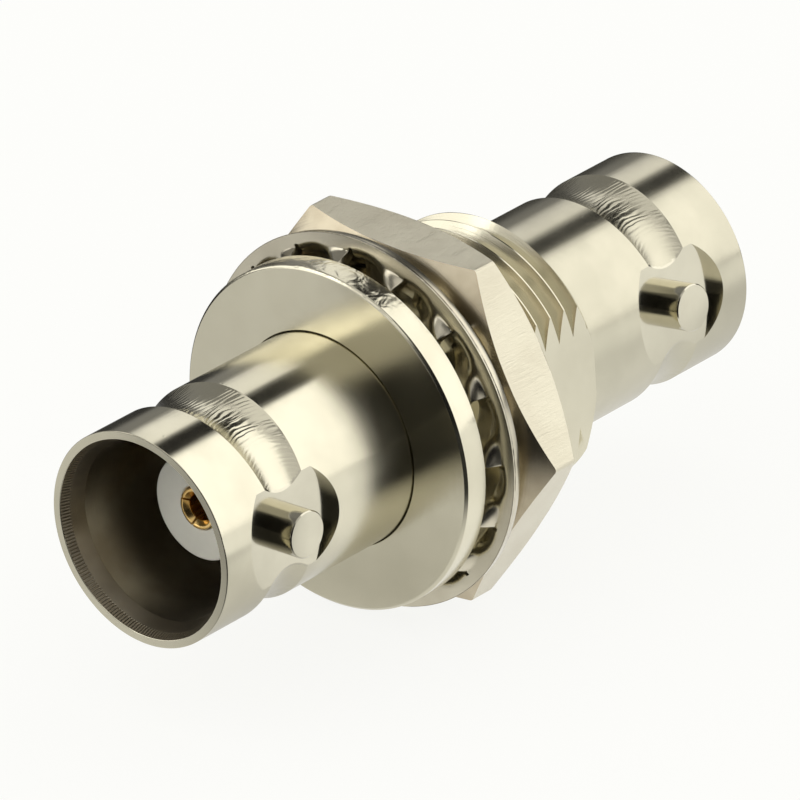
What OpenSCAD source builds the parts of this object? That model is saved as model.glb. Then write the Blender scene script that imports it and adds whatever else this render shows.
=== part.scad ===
// Bulkhead feed-through adapter: two female bayonet coaxial jacks back to back.
// The common axis lies along Y, with the front jack's mouth at -Y. The flange's panel
// seat is at y = 0. The front jack's bayonet lugs and the thread's D flat are on X.

/* [Jacks] */
// Outer diameter of each jack's barrel
barrel_d = 9.7; // [9.4:0.05:10]
// Length of barrel that stands in front of the flange
jack_len = 11.75; // [11:0.05:14]
// Length of barrel that stands behind the thread
rear_jack_len = 10.65; // [10:0.05:14]
// Wall of the mouth that the mating plug's sleeve enters
mouth_wall = 0.775; // [0.6:0.025:0.9]
// Width of the rim's flat ring, outside the lead-in chamfer
rim_land = 0.36; // [0.2:0.02:0.5]
// Depth from the rim to the shoulder that stops the plug
mouth_depth = 8.4; // [7:0.1:9]
// Chamfer on the rim's outer edge
rim_chamfer = 0.06; // [0.02:0.02:0.3]
// Turn of the rear jack's lugs against the front ones, in degrees
rear_jack_turn = 6.5; // [-45:0.5:45]

/* [Bayonet lugs] */
// Distance from the rim to the lugs' centre
lug_from_rim = 4.2; // [3.8:0.1:6]
// Diameter of a lug
lug_d = 2; // [1.6:0.05:2.4]
// Height of a lug's tip above the barrel's surface
lug_h = 0.65; // [0.4:0.05:1]
// Height of the wider root of a lug above its spot face
lug_root_h = 0.62; // [0.3:0.02:1]
// How much the lug's root is wider than its tip
lug_root_step = 0.06; // [0.02:0.02:0.2]
// Diameter of the spot face that the hollow mill leaves round a lug
spot_d = 5.4; // [4:0.1:6.5]
// Depth of the spot face below the barrel's surface
spot_depth = 0.47; // [0.2:0.01:0.6]
// Width of the milled band between the lugs
band_w = 2.8; // [2:0.1:4]
// Greatest depth of the milled band, a quarter turn from the lugs
band_depth = 0.32; // [0.1:0.02:0.5]
// Hollow of the band's floor across its width
band_hollow = 0.12; // [0.02:0.02:0.25]

/* [Flange and thread] */
// Flange diameter
flange_d = 15.6; // [15:0.1:18]
// Flange thickness
flange_t = 1.35; // [0.8:0.05:2.5]
// Chamfer on the flange's edges
flange_chamfer = 0.12; // [0.05:0.01:0.3]
// Major diameter of the mounting thread
thread_d = 12.7; // [12:0.1:13.5]
// Length of the mounting thread behind the flange
thread_len = 10.1; // [8:0.1:12]
// Chamfer on the thread's end
thread_chamfer = 1; // [0.4:0.05:1.2]
// Distance from the axis to the thread's D flat
flat_from_axis = 5.35; // [5.2:0.05:6]
// Depth of the socket that the front jack's tail is pressed into, from the flange's face
socket_depth = 6; // [3:0.1:8]
// Chamfer round the socket's mouth, seen as a fine seam on the flange's face
seam_chamfer = 0.12; // [0.05:0.01:0.3]

/* [Insulators] */
// Diameter of the nose that stands in the jack's mouth
nose_d = 4.75; // [4.4:0.05:5]
// Distance from the rim to the nose's face
nose_from_rim = 3.65; // [2.5:0.05:5]
// Diameter of the hole in each shell's lip
lip_d = 5.8; // [5.4:0.1:6.2]
// Thickness of each shell's lip
lip_t = 1; // [0.6:0.1:1.5]
// Diameter of the insulator's body between the lips
insulator_d = 7.2; // [6.8:0.1:7.6]
// Radial gap round the insulators
insulator_gap = 0.02; // [0.01:0.01:0.1]
// Chamfer on the nose's edge
nose_chamfer = 0.1; // [0.05:0.01:0.3]

/* [Centre contact] */
// Outer diameter of the contact's sockets
contact_d = 1.86; // [1.7:0.02:2.2]
// Hole for the mating pin
contact_bore_d = 1.36; // [1.3:0.02:1.5]
// Depth of the pin hole
contact_bore_depth = 6; // [4:0.1:8]
// How far the contact stands proud of the insulator's nose
contact_proud = 0.1; // [0:0.02:0.4]
// Slots in each socket
contact_slots = 4; // [2:1:6]
// Width of a slot
slot_w = 0.16; // [0.1:0.02:0.3]
// Depth of the slots
slot_depth = 4.2; // [2:0.1:5]
// Diameter of the collar that the insulators trap
collar_d = 3.2; // [2.6:0.1:4]
// Length of the collar
collar_len = 1.2; // [0.6:0.1:2]
// Radial gap round the contact
contact_gap = 0.05; // [0.02:0.01:0.15]
// Turn of the slots about the axis, in degrees
slot_turn = 22; // [0:1:90]

/* [Lock washer] */
// Outer diameter of the washer
washer_d = 17; // [15.5:0.1:19]
// Thickness of the washer's sheet
washer_t = 0.47; // [0.3:0.01:0.8]
// Radial width of the whole ring outside the cuts
washer_ring_w = 0.8; // [0.6:0.05:1.5]
// Number of twisted teeth
washer_teeth = 16; // [8:1:24]
// Gap cut between two teeth
tooth_cut = 0.16; // [0.08:0.02:0.4]
// Radial gap between the teeth's tips and the thread
tooth_gap = 0.1; // [0.05:0.01:0.3]
// Axial height over the twisted teeth
tooth_height = 2; // [1:0.05:2.5]
// Turn of the washer about the axis, in degrees
washer_turn = 10.25; // [0:0.25:22.5]

/* [Nut] */
// Distance across the nut's flats
nut_af = 15.85; // [15:0.05:17]
// Nut thickness
nut_t = 2.8; // [1.5:0.1:4]
// Radius at which the nut's corner chamfers meet its faces
nut_face_r = 7.7; // [7.3:0.05:7.8]
// Slope of the corner chamfers against the faces, in degrees
nut_chamfer_angle = 30; // [15:1:45]
// Radial running clearance between the nut and the thread
nut_gap = 0.05; // [0.02:0.01:0.1]
// Chamfer at each end of the nut's bore
nut_bore_chamfer = 0.35; // [0.1:0.05:0.5]
// Turn of the nut about the axis, in degrees
nut_turn = 5; // [0:0.5:60]
// Axial clearance on each side of the washer's teeth
stack_gap = 0.04; // [0.02:0.01:0.1]

/* [Hidden] */
$fn = 96;

overcut = 1;

// Places along the axis
flange_face_y = -flange_t;
front_rim_y = flange_face_y - jack_len;
rear_rim_y = thread_len + rear_jack_len;
socket_end_y = flange_face_y + socket_depth;
front_shoulder_y = front_rim_y + mouth_depth;
rear_shoulder_y = rear_rim_y - mouth_depth;
front_lip_y = front_shoulder_y + lip_t;
rear_lip_y = rear_shoulder_y - lip_t;
middle_y = (front_lip_y + rear_lip_y) / 2;
washer_mid_y = stack_gap + tooth_height / 2;
nut_face_y = tooth_height + 2 * stack_gap;

// Radii
barrel_r = barrel_d / 2;
mouth_bore_d = barrel_d - 2 * mouth_wall;
mouth_d = barrel_d - 2 * rim_land;
lug_tip_r = barrel_r + lug_h;
spot_r = barrel_r - spot_depth;
band_half_angle = acos(spot_r / barrel_r);

// The band's floor is an arc struck from below the axis, so that it runs out at the spot faces
band_floor_r = barrel_r - band_depth;
band_drop = (barrel_r^2 - band_floor_r^2) / (2 * (band_floor_r - barrel_r * sin(band_half_angle)));
band_arc_r = band_floor_r + band_drop;
band_hollow_r = ((band_w / 2)^2 + band_hollow^2) / (2 * band_hollow);
band_hollow_half = asin(band_w / 2 / band_hollow_r);

// The washer's sheet is a grid. Row 0 is its outer edge, the cuts start at root_row and the last
// row is the teeth's tips. Each tooth has the columns 0 to tooth_cols, and a cut follows the last.
ring_inner_r = washer_d / 2 - washer_ring_w;
tooth_tip_r = thread_d / 2 + tooth_gap;
root_row = 3;
tip_row = 8;
tooth_cols = 6;
sheet_cols = washer_teeth * (tooth_cols + 1);
tooth_pitch_angle = 360 / washer_teeth;
tooth_lift = (tooth_height - washer_t) / 2;

// Turned pieces are drawn along Z and laid along Y, which keeps X where it is
module along_y(y = 0) {
    translate([0, y, 0]) rotate([-90, 0, 0]) children();
}

// One bayonet lug on +X, its mouth-side distance measured from z = 0
module lug() {
    root_h = spot_r + lug_root_h;
    translate([0, 0, lug_from_rim]) rotate([0, 90, 0]) {
        translate([0, 0, spot_r - spot_depth / 2])
            cylinder(d = lug_d + lug_root_step, h = root_h - spot_r + spot_depth / 2);
        translate([0, 0, spot_r - spot_depth / 2])
            cylinder(d = lug_d, h = lug_tip_r - spot_r + spot_depth / 2);
    }
}

// Flat spot that the hollow mill leaves round a lug on +X
module spot_face() {
    translate([spot_r, 0, lug_from_rim]) rotate([0, 90, 0]) cylinder(d = spot_d, h = barrel_r);
}

// What the cutter takes off the barrel between the lugs, on the +Y side
module band_cut() {
    crown_r = band_arc_r + band_hollow_r;
    steps = 6;
    floor_arc = [for (i = [0:steps])
        let (a = band_hollow_half * (2 * i / steps - 1))
        [crown_r - band_hollow_r * cos(a), band_hollow_r * sin(a)]];
    translate([0, -band_drop, lug_from_rim])
        rotate_extrude()
            polygon(concat(floor_arc, [[barrel_d, band_w / 2], [barrel_d, -band_w / 2]]));
}

// Outside of a jack with its rim at z = 0, running back along +Z
module jack_outside(length) {
    difference() {
        union() {
            cylinder(r1 = barrel_r - rim_chamfer, r2 = barrel_r, h = rim_chamfer);
            translate([0, 0, rim_chamfer]) cylinder(r = barrel_r, h = length - rim_chamfer);
        }
        for (side = [0, 180]) rotate([0, 0, side]) {
            spot_face();
            band_cut();
        }
    }
    for (side = [0, 180]) rotate([0, 0, side]) lug();
}

// Inside of a jack: mouth, lead-in chamfer, shoulder and lip, with the rim at z = 0
module jack_inside() {
    lead = (mouth_d - mouth_bore_d) / 2;
    translate([0, 0, -overcut]) cylinder(d = mouth_d, h = overcut);
    cylinder(d1 = mouth_d, d2 = mouth_bore_d, h = lead);
    cylinder(d = mouth_bore_d, h = mouth_depth);
    cylinder(d = lip_d, h = mouth_depth + lip_t + overcut);
}

// Front jack: a turned tube whose tail is pressed into the flanged body
module front_jack_shell() {
    length = socket_end_y - front_rim_y;
    color("silver") along_y(front_rim_y) difference() {
        jack_outside(length);
        jack_inside();
        translate([0, 0, mouth_depth + lip_t]) cylinder(d = insulator_d, h = length);
    }
}

module flange() {
    translate([0, 0, -flange_t]) {
        cylinder(d1 = flange_d - 2 * flange_chamfer, d2 = flange_d, h = flange_chamfer);
        translate([0, 0, flange_chamfer]) cylinder(d = flange_d, h = flange_t - 2 * flange_chamfer);
        translate([0, 0, flange_t - flange_chamfer])
            cylinder(d1 = flange_d, d2 = flange_d - 2 * flange_chamfer, h = flange_chamfer);
    }
}

// The mounting thread at its major diameter, with its end chamfer and D flat
module thread_blank() {
    difference() {
        union() {
            cylinder(d = thread_d, h = thread_len - thread_chamfer);
            translate([0, 0, thread_len - thread_chamfer])
                cylinder(d1 = thread_d, d2 = thread_d - 2 * thread_chamfer, h = thread_chamfer);
        }
        translate([flat_from_axis, -thread_d, 0]) cube([thread_d, 2 * thread_d, thread_len + overcut]);
    }
}

// Flange, mounting thread and rear jack, turned from one bar
module bulkhead_body() {
    color("gainsboro") along_y() difference() {
        union() {
            flange();
            thread_blank();
            translate([0, 0, rear_rim_y]) rotate([0, 0, -rear_jack_turn]) mirror([0, 0, 1])
                jack_outside(rear_jack_len + overcut);
        }
        translate([0, 0, rear_rim_y]) mirror([0, 0, 1]) jack_inside();
        translate([0, 0, socket_end_y - overcut])
            cylinder(d = insulator_d, h = rear_lip_y - socket_end_y + overcut);
        translate([0, 0, flange_face_y - overcut]) cylinder(r = barrel_r, h = socket_depth + overcut);
        translate([0, 0, flange_face_y])
            cylinder(r1 = barrel_r + seam_chamfer, r2 = barrel_r, h = seam_chamfer);
    }
}

// One insulator: its nose's face at z = 0, its inner end at the middle of the adapter
module insulator() {
    nose_len = mouth_depth - nose_from_rim;
    length = middle_y - front_rim_y - nose_from_rim;
    difference() {
        union() {
            cylinder(d1 = nose_d - 2 * nose_chamfer, d2 = nose_d, h = nose_chamfer);
            translate([0, 0, nose_chamfer]) cylinder(d = nose_d, h = nose_len - nose_chamfer);
            cylinder_between(lip_d / 2 - insulator_gap, nose_len - insulator_gap, nose_len + lip_t);
            cylinder_between(insulator_d / 2 - insulator_gap, nose_len + lip_t, length);
        }
        translate([0, 0, -overcut]) cylinder(d = contact_d + 2 * contact_gap, h = length + 2 * overcut);
        translate([0, 0, length - collar_len / 2])
            cylinder(d = collar_d + 2 * contact_gap, h = collar_len);
    }
}

module cylinder_between(radius, low, high) {
    translate([0, 0, low]) cylinder(r = radius, h = high - low);
}

module front_insulator() {
    color("white") along_y(front_rim_y + nose_from_rim) insulator();
}

module rear_insulator() {
    color("whitesmoke") along_y(rear_rim_y - nose_from_rim) mirror([0, 0, 1]) insulator();
}

// Half of the centre contact, its open end at z = 0 and its inner end at the middle
module contact_half() {
    length = middle_y - front_rim_y - nose_from_rim + contact_proud;
    edge = (contact_d - contact_bore_d) / 8;
    difference() {
        union() {
            cylinder(d1 = contact_d - 2 * edge, d2 = contact_d, h = edge);
            cylinder_between(contact_d / 2, edge, length);
            cylinder_between(collar_d / 2, length - collar_len / 2, length);
        }
        cylinder_between(contact_bore_d / 2, -overcut, contact_bore_depth);
        translate([0, 0, -edge]) cylinder(d1 = contact_bore_d + 6 * edge, d2 = contact_bore_d, h = 3 * edge);
        for (i = [0:contact_slots - 1]) rotate([0, 0, slot_turn + 360 * i / contact_slots])
            translate([0, -slot_w / 2, -overcut]) cube([contact_d, slot_w, slot_depth + overcut]);
    }
}

// Double-ended socket contact, turned in one piece and slotted from both ends
module centre_contact() {
    color("goldenrod") along_y() {
        translate([0, 0, front_rim_y + nose_from_rim - contact_proud]) contact_half();
        translate([0, 0, rear_rim_y - nose_from_rim + contact_proud]) mirror([0, 0, 1]) contact_half();
    }
}

function sheet_radius(row) = row < root_row ? washer_d / 2 - washer_ring_w * row / root_row
    : ring_inner_r - (ring_inner_r - tooth_tip_r) * (row - root_row) / (tip_row - root_row);

// The twist starts in the ring, at row 1, and has its full value at the tip
function twist(row) = let (u = max(0, row - 1) / (tip_row - 1)) u * u * (3 - 2 * u);

// A point of the sheet: side is 1 on the face toward +Z and -1 on the other. The ring takes a
// full wave for each tooth, and past the cuts each tooth leans from one end to the other.
function sheet_point(side, row, column) =
    let (radius = sheet_radius(row))
    let (tooth = floor(column / (tooth_cols + 1)))
    let (across = 2 * (column % (tooth_cols + 1)) / tooth_cols - 1)
    let (half_angle = tooth_pitch_angle / 2 - asin(tooth_cut / 2 / min(radius, ring_inner_r)))
    let (angle = tooth * tooth_pitch_angle + across * half_angle)
    let (free = max(0, row - root_row) / (tip_row - root_row))
    let (wave = (1 - free) * 0.7 * sin(180 * across) + free * (1.5 * across - 0.5 * across^3))
    [radius * cos(angle), radius * sin(angle), side * washer_t / 2 - tooth_lift * twist(row) * wave];

function sheet_index(side, row, column) =
    ((side > 0 ? 0 : tip_row + 1) + row) * sheet_cols + column % sheet_cols;

// A patch of the skin as two triangles, because its four corners needn't lie in one plane
function patch(a, b, c, d) = [[a, c, b], [a, d, c]];

// The patches of both faces between two rows, one column wide
function face_patches(row, column) =
    let (top = [for (k = [[0, 0], [0, 1], [1, 1], [1, 0]]) sheet_index(1, row + k[0], column + k[1])])
    let (under = [for (k = [[0, 0], [1, 0], [1, 1], [0, 1]]) sheet_index(-1, row + k[0], column + k[1])])
    concat(patch(top[0], top[1], top[2], top[3]), patch(under[0], under[1], under[2], under[3]));

// The edge of the sheet from one grid point to another, with the metal on its left
function edge_patches(row_a, column_a, row_b, column_b) =
    patch(sheet_index(1, row_b, column_b), sheet_index(1, row_a, column_a),
        sheet_index(-1, row_a, column_a), sheet_index(-1, row_b, column_b));

// Internal-tooth lock washer: a ring with its teeth twisted out of the sheet
module lock_washer() {
    points = [for (side = [1, -1], row = [0:tip_row], column = [0:sheet_cols - 1])
        sheet_point(side, row, column)];
    ring = [for (column = [0:sheet_cols - 1]) each concat(
        [for (row = [0:root_row - 1]) each face_patches(row, column)],
        edge_patches(0, column, 0, column + 1))];
    teeth = [for (tooth = [0:washer_teeth - 1])
        let (first = tooth * (tooth_cols + 1))
        let (last = first + tooth_cols)
        each concat(
            [for (row = [root_row:tip_row - 1], column = [first:last - 1]) each face_patches(row, column)],
            [for (row = [root_row:tip_row - 1]) each edge_patches(row + 1, first, row, first)],
            [for (row = [root_row:tip_row - 1]) each edge_patches(row, last, row + 1, last)],
            [for (column = [first:last - 1]) each edge_patches(tip_row, column + 1, tip_row, column)],
            edge_patches(root_row, last + 1, root_row, last))];
    color("lightgray") along_y(washer_mid_y) rotate([0, 0, washer_turn])
        polyhedron(points, concat(ring, teeth), convexity = 6);
}

// Cone that turns the nut's corners off, widest in the middle of the nut
module nut_corner_cone() {
    reach = nut_face_r + nut_t / 2 / tan(nut_chamfer_angle);
    cylinder(r1 = nut_face_r, r2 = reach, h = nut_t / 2);
    translate([0, 0, nut_t / 2]) cylinder(r1 = reach, r2 = nut_face_r, h = nut_t / 2);
}

module hex_nut() {
    bore_r = thread_d / 2 + nut_gap;
    color("lightsteelblue") along_y(nut_face_y) difference() {
        intersection() {
            rotate([0, 0, nut_turn]) cylinder(d = nut_af / cos(30), h = nut_t, $fn = 6);
            nut_corner_cone();
        }
        translate([0, 0, -overcut]) cylinder(r = bore_r, h = nut_t + 2 * overcut);
        translate([0, 0, -overcut])
            cylinder(r1 = bore_r + nut_bore_chamfer + overcut, r2 = bore_r, h = nut_bore_chamfer + overcut);
        translate([0, 0, nut_t - nut_bore_chamfer])
            cylinder(r1 = bore_r, r2 = bore_r + nut_bore_chamfer + overcut, h = nut_bore_chamfer + overcut);
    }
}

front_jack_shell();
bulkhead_body();
front_insulator();
rear_insulator();
centre_contact();
lock_washer();
hex_nut();
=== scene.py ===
# %% [markdown]
# # A bulkhead feed-through adapter in Blender
#
# Two female bayonet jacks stand back to back on one threaded body. A flange, a lock washer with
# twisted teeth and a hex nut clamp a panel between them. Everything is nickel-plated brass, apart
# from the white insulators and the gilt contact. The frame gives every place and overall size, and
# the cells below add what a plain solid lacks: fine edges, thread, tool marks and finish.

# %% Load the frame
import math

import bmesh
import bpy
from mathutils import Matrix, Vector


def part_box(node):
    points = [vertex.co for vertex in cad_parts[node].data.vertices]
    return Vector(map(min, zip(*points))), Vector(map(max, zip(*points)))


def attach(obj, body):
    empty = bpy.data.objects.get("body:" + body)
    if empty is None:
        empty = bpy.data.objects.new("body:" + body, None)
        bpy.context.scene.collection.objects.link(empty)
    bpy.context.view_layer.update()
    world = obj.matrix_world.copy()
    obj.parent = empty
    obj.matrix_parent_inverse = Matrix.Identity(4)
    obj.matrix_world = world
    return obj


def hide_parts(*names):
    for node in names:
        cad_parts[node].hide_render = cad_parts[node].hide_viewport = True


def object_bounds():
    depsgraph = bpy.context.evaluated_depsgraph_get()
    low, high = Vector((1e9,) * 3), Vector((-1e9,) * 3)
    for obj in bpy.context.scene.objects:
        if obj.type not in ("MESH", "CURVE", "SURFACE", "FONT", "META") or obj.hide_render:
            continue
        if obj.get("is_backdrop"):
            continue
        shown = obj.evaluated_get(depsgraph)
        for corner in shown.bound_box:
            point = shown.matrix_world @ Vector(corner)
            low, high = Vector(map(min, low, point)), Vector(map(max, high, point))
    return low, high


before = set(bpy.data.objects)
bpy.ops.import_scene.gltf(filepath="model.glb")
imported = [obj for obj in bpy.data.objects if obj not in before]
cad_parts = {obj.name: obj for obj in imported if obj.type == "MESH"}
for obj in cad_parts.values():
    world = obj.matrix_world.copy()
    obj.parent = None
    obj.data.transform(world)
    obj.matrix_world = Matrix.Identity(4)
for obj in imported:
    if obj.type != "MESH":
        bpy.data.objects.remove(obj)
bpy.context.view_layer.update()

# %% [markdown]
# ## Sizes
# All sizes are in millimetres, because that is how such a part is drawn, and one factor takes them
# to Blender's metres. Places along the axis come from the frame's boxes, so a piece can't drift
# from the solid that it stands for. Only details that a box can't tell are written here.

# %% Sizes from the frame and of the details
MM = 0.001


def limits(node, axis):
    """Lowest and highest coordinate of a CAD node along one axis, in millimetres."""
    low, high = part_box(node)
    return low[axis] / MM, high[axis] / MM


AXIS_X, AXIS_Y, AXIS_Z = 0, 1, 2
front_rim_y, front_tail_y = limits("front_jack_shell", AXIS_Y)
flange_face_y, rear_rim_y = limits("bulkhead_body", AXIS_Y)
front_nose_y, middle_y = limits("front_insulator", AXIS_Y)
rear_nose_y = limits("rear_insulator", AXIS_Y)[1]
front_contact_y, rear_contact_y = limits("centre_contact", AXIS_Y)
nut_face_y, nut_back_y = limits("hex_nut", AXIS_Y)
washer_low_y, washer_high_y = limits("lock_washer", AXIS_Y)
flange_r = limits("bulkhead_body", AXIS_Z)[1]
lug_tip_r = limits("front_jack_shell", AXIS_X)[1]
washer_r = limits("lock_washer", AXIS_Z)[1]

jack_len = flange_face_y - front_rim_y
rear_jack_len = 10.65
thread_end_y = rear_rim_y - rear_jack_len
barrel_r = 4.85
mouth_r = 4.49
bore_r = 4.075
mouth_depth = 8.4
lip_r = 2.9
insulator_r = 3.6
nose_r = 2.375
lug_from_rim = 4.3
lug_r = 1.04
lug_edge = 0.05
spot_r = 2.75
spot_face_r = barrel_r - 0.52
band_w = 2.9
band_depth = 0.34
band_drop = 0.25
lead_ribs_y = 0.4
rear_jack_turn = 6.5
thread_r = 6.35
thread_pitch = 0.907
thread_depth = 0.68
flat_from_axis = 5.25
seam_r = barrel_r + 0.06
contact_r = 0.93
contact_bore_r = 0.58
nut_af = 15.85
nut_turn = 5
washer_teeth = 16
print(f"jack {jack_len:.2f} mm, thread to y = {thread_end_y:.2f} mm, flange radius {flange_r:.2f}")

# %% [markdown]
# ## Camera
# A long lens from half a metre keeps the two jacks nearly the same size, as a catalogue view does.
# The camera is placed by azimuth, elevation and a small roll about a point inside the flange.

# %% Camera
view_azimuth = math.radians(42.42)
view_elevation = math.radians(24.97)
view_roll = math.radians(-3.76)
view_target = Vector((5.705, -2.809, 3.876)) * MM
view_distance = 0.5

toward_camera = Vector((
    math.sin(view_azimuth) * math.cos(view_elevation),
    -math.cos(view_azimuth) * math.cos(view_elevation),
    math.sin(view_elevation)))
camera_data = bpy.data.cameras.new("camera")
camera_data.lens = 540
camera_data.sensor_width = 36
camera_data.clip_start = 0.01
camera_data.clip_end = 10
camera = bpy.data.objects.new("camera", camera_data)
bpy.context.collection.objects.link(camera)
facing = (-toward_camera).to_track_quat("-Z", "Y").to_matrix().to_4x4()
camera.matrix_world = (Matrix.Translation(view_target + toward_camera * view_distance)
                       @ facing @ Matrix.Rotation(view_roll, 4, "Z"))
bpy.context.scene.camera = camera
bpy.context.scene.view_settings.view_transform = "Standard"
print("camera at", [round(v, 4) for v in camera.matrix_world.translation])

# %% [markdown]
# ## Finishes
# Bright nickel on turned brass is a mirror with a history: fine turning lines round the axis, a few
# specks and scuffs under the plating, and a faint yellow tint. The lines and specks are node
# groups, so each finish uses them at its own strength. Everything reads Object coordinates, which
# are the part's own, so the lines run true round the axis on every piece.

# %% Helpers for building node trees
def add_node(tree, kind, values=(), **settings):
    """A node with its settings, and its inputs given by name or index as values or links."""
    node = tree.nodes.new(kind)
    for key, value in settings.items():
        setattr(node, key, value)
    for key, value in dict(values).items():
        if isinstance(value, bpy.types.NodeSocket):
            tree.links.new(value, node.inputs[key])
        else:
            node.inputs[key].default_value = value
    return node


def compute(tree, operation, *values):
    """One Math node, and its result."""
    node = add_node(tree, "ShaderNodeMath", enumerate(values), operation=operation)
    return node.outputs[0]


def product(tree, *values):
    """All the values multiplied."""
    result = values[0]
    for value in values[1:]:
        result = compute(tree, "MULTIPLY", result, value)
    return result


def linear(tree, value, factor, plus):
    """A value times a factor, plus a number."""
    return compute(tree, "MULTIPLY_ADD", value, factor, plus)


def noise(tree, point, scale, detail, roughness, distortion=0.0):
    """A noise texture's value."""
    node = add_node(tree, "ShaderNodeTexNoise", {
        "Vector": point, "Scale": scale, "Detail": detail, "Roughness": roughness,
        "Distortion": distortion})
    return node.outputs[0]


def ramp(tree, value, low, high):
    """0 below low, 1 above high and a smooth step between them. Low may be above high."""
    node = add_node(tree, "ShaderNodeMapRange", {0: value, 1: low, 2: high},
                    interpolation_type="SMOOTHSTEP")
    return node.outputs[0]


def vector(tree, x=0.0, y=0.0, z=0.0):
    """A vector from three numbers."""
    return add_node(tree, "ShaderNodeCombineXYZ", {0: x, 1: y, 2: z}).outputs[0]


def scaled(tree, way, factor):
    """A vector times a number."""
    node = add_node(tree, "ShaderNodeVectorMath", {0: way, "Scale": factor}, operation="SCALE")
    return node.outputs[0]


# %% Shader groups: turning lines, specks and tint
def shader_group(name, inputs, outputs):
    """An empty shader group with named number inputs and outputs."""
    group = bpy.data.node_groups.new(name, "ShaderNodeTree")
    kind = "NodeSocketFloat"
    for label, value in inputs.items():
        socket = group.interface.new_socket(label, in_out="INPUT", socket_type=kind)
        socket.default_value = value
    for label in outputs:
        group.interface.new_socket(label, in_out="OUTPUT", socket_type=kind)
    entry = group.nodes.new("NodeGroupInput")
    end = group.nodes.new("NodeGroupOutput")
    return group, {label: entry.outputs[label] for label in inputs}, end.inputs


def object_place(tree):
    """Object coordinates in millimetres: the point, x, y and z."""
    where = tree.nodes.new("ShaderNodeTexCoord")
    point = scaled(tree, where.outputs["Object"], 1 / MM)
    split = add_node(tree, "ShaderNodeSeparateXYZ", {0: point})
    return (point, *split.outputs)


def about_axis(tree):
    """Radius in millimetres and angle in radians about the Y axis, with x, y and z."""
    point, x, y, z = object_place(tree)
    radius = compute(tree, "SQRT", linear(tree, x, x, product(tree, z, z)))
    return radius, compute(tree, "ARCTAN2", z, x), x, y, z


def turning_lines_group():
    """Height of the fine lines that a lathe leaves, which run round the Y axis."""
    sizes = {"Lines per mm": 8.0, "Waver": 0.4}
    group, size, end = shader_group("turning lines", sizes, ["Height"])
    radius, angle, x, y, z = about_axis(group)
    place = vector(
        group,
        product(group, compute(group, "DIVIDE", x, radius), size["Waver"]),
        product(group, compute(group, "ADD", y, radius), size["Lines per mm"]),
        product(group, compute(group, "DIVIDE", z, radius), size["Waver"]))
    group.links.new(noise(group, place, 1.0, 3.0, 0.6), end["Height"])
    return group


def specks_group():
    """Small pits under the plating, as a height."""
    sizes = {"Specks per mm": 1.5, "Size": 0.12}
    group, size, end = shader_group("plating specks", sizes, ["Height"])
    cells = add_node(group, "ShaderNodeTexVoronoi", {
        "Vector": object_place(group)[0], "Scale": size["Specks per mm"]})
    chance = add_node(group, "ShaderNodeSeparateColor", {0: cells.outputs["Color"]})
    rare = compute(group, "GREATER_THAN", chance.outputs[0], 0.6)
    near = ramp(group, cells.outputs["Distance"], size["Size"], 0.0)
    group.links.new(product(group, near, rare, -1.0), end["Height"])
    return group


def clouds_group():
    """A slow, patchy value from 0 to 1 over the surface."""
    group, size, end = shader_group("clouds", {"Patches per mm": 0.3}, ["Value"])
    value = noise(group, object_place(group)[0], size["Patches per mm"], 3.0, 0.55)
    group.links.new(ramp(group, value, 0.3, 0.7), end["Value"])
    return group


turning_lines = turning_lines_group()
specks = specks_group()
clouds = clouds_group()


def place_group(tree, group, **values):
    """A group placed in a tree, with some of its inputs set."""
    node = tree.nodes.new("ShaderNodeGroup")
    node.node_tree = group
    for label, value in values.items():
        node.inputs[label.replace("_", " ")].default_value = value
    return node


# %% Metal finishes
def new_material(name):
    """A material, its tree and its surface."""
    material = bpy.data.materials.new(name)
    material.use_nodes = True
    tree = material.node_tree
    return material, tree, tree.nodes["Principled BSDF"]


def cloudy_tint(tree, patches, tints):
    """Mixes a surface's colour from two close tints in clouds, and gives the clouds' value."""
    cloud = place_group(tree, clouds, Patches_per_mm=patches)
    tint = add_node(tree, "ShaderNodeMix", {0: cloud.outputs[0]}, data_type="RGBA")
    tint.inputs[6].default_value = (*tints[0], 1)
    tint.inputs[7].default_value = (*tints[1], 1)
    tree.links.new(tint.outputs[2], tree.nodes["Principled BSDF"].inputs["Base Color"])
    return cloud.outputs[0]


def metal(name, tints, roughness, turned_look, lines, waver, line_depth, speck_depth):
    """Plated metal: two close tints in clouds, and turning lines and specks as relief.

    A turned surface spreads its reflections across the tool marks, so turned_look sets how much
    wider the reflection is along the profile than round the axis.
    """
    material, tree, surface = new_material(name)
    surface.inputs["Metallic"].default_value = 1.0
    cloud = cloudy_tint(tree, 0.35, tints)
    rough = linear(tree, cloud, 0.04, roughness - 0.02)
    tree.links.new(rough, surface.inputs["Roughness"])
    if turned_look:
        radius, angle, x, y, z = about_axis(tree)
        round_axis = vector(tree, z, 0.0, product(tree, x, -1.0))
        world = add_node(tree, "ShaderNodeVectorTransform", {0: round_axis},
                         vector_type="VECTOR", convert_from="OBJECT", convert_to="WORLD")
        unit = add_node(tree, "ShaderNodeVectorMath", {0: world.outputs[0]}, operation="NORMALIZE")
        tree.links.new(unit.outputs[0], surface.inputs["Tangent"])
        surface.inputs["Anisotropic"].default_value = turned_look
        surface.inputs["Anisotropic Rotation"].default_value = 0.25
    line = place_group(tree, turning_lines, Lines_per_mm=lines, Waver=waver)
    speck = place_group(tree, specks)
    pits = product(tree, speck.outputs[0], speck_depth)
    relief = linear(tree, line.outputs[0], line_depth, pits)
    bump = add_node(tree, "ShaderNodeBump", {"Height": relief, "Distance": MM, "Strength": 1.0})
    tree.links.new(bump.outputs[0], surface.inputs["Normal"])
    return material


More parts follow.
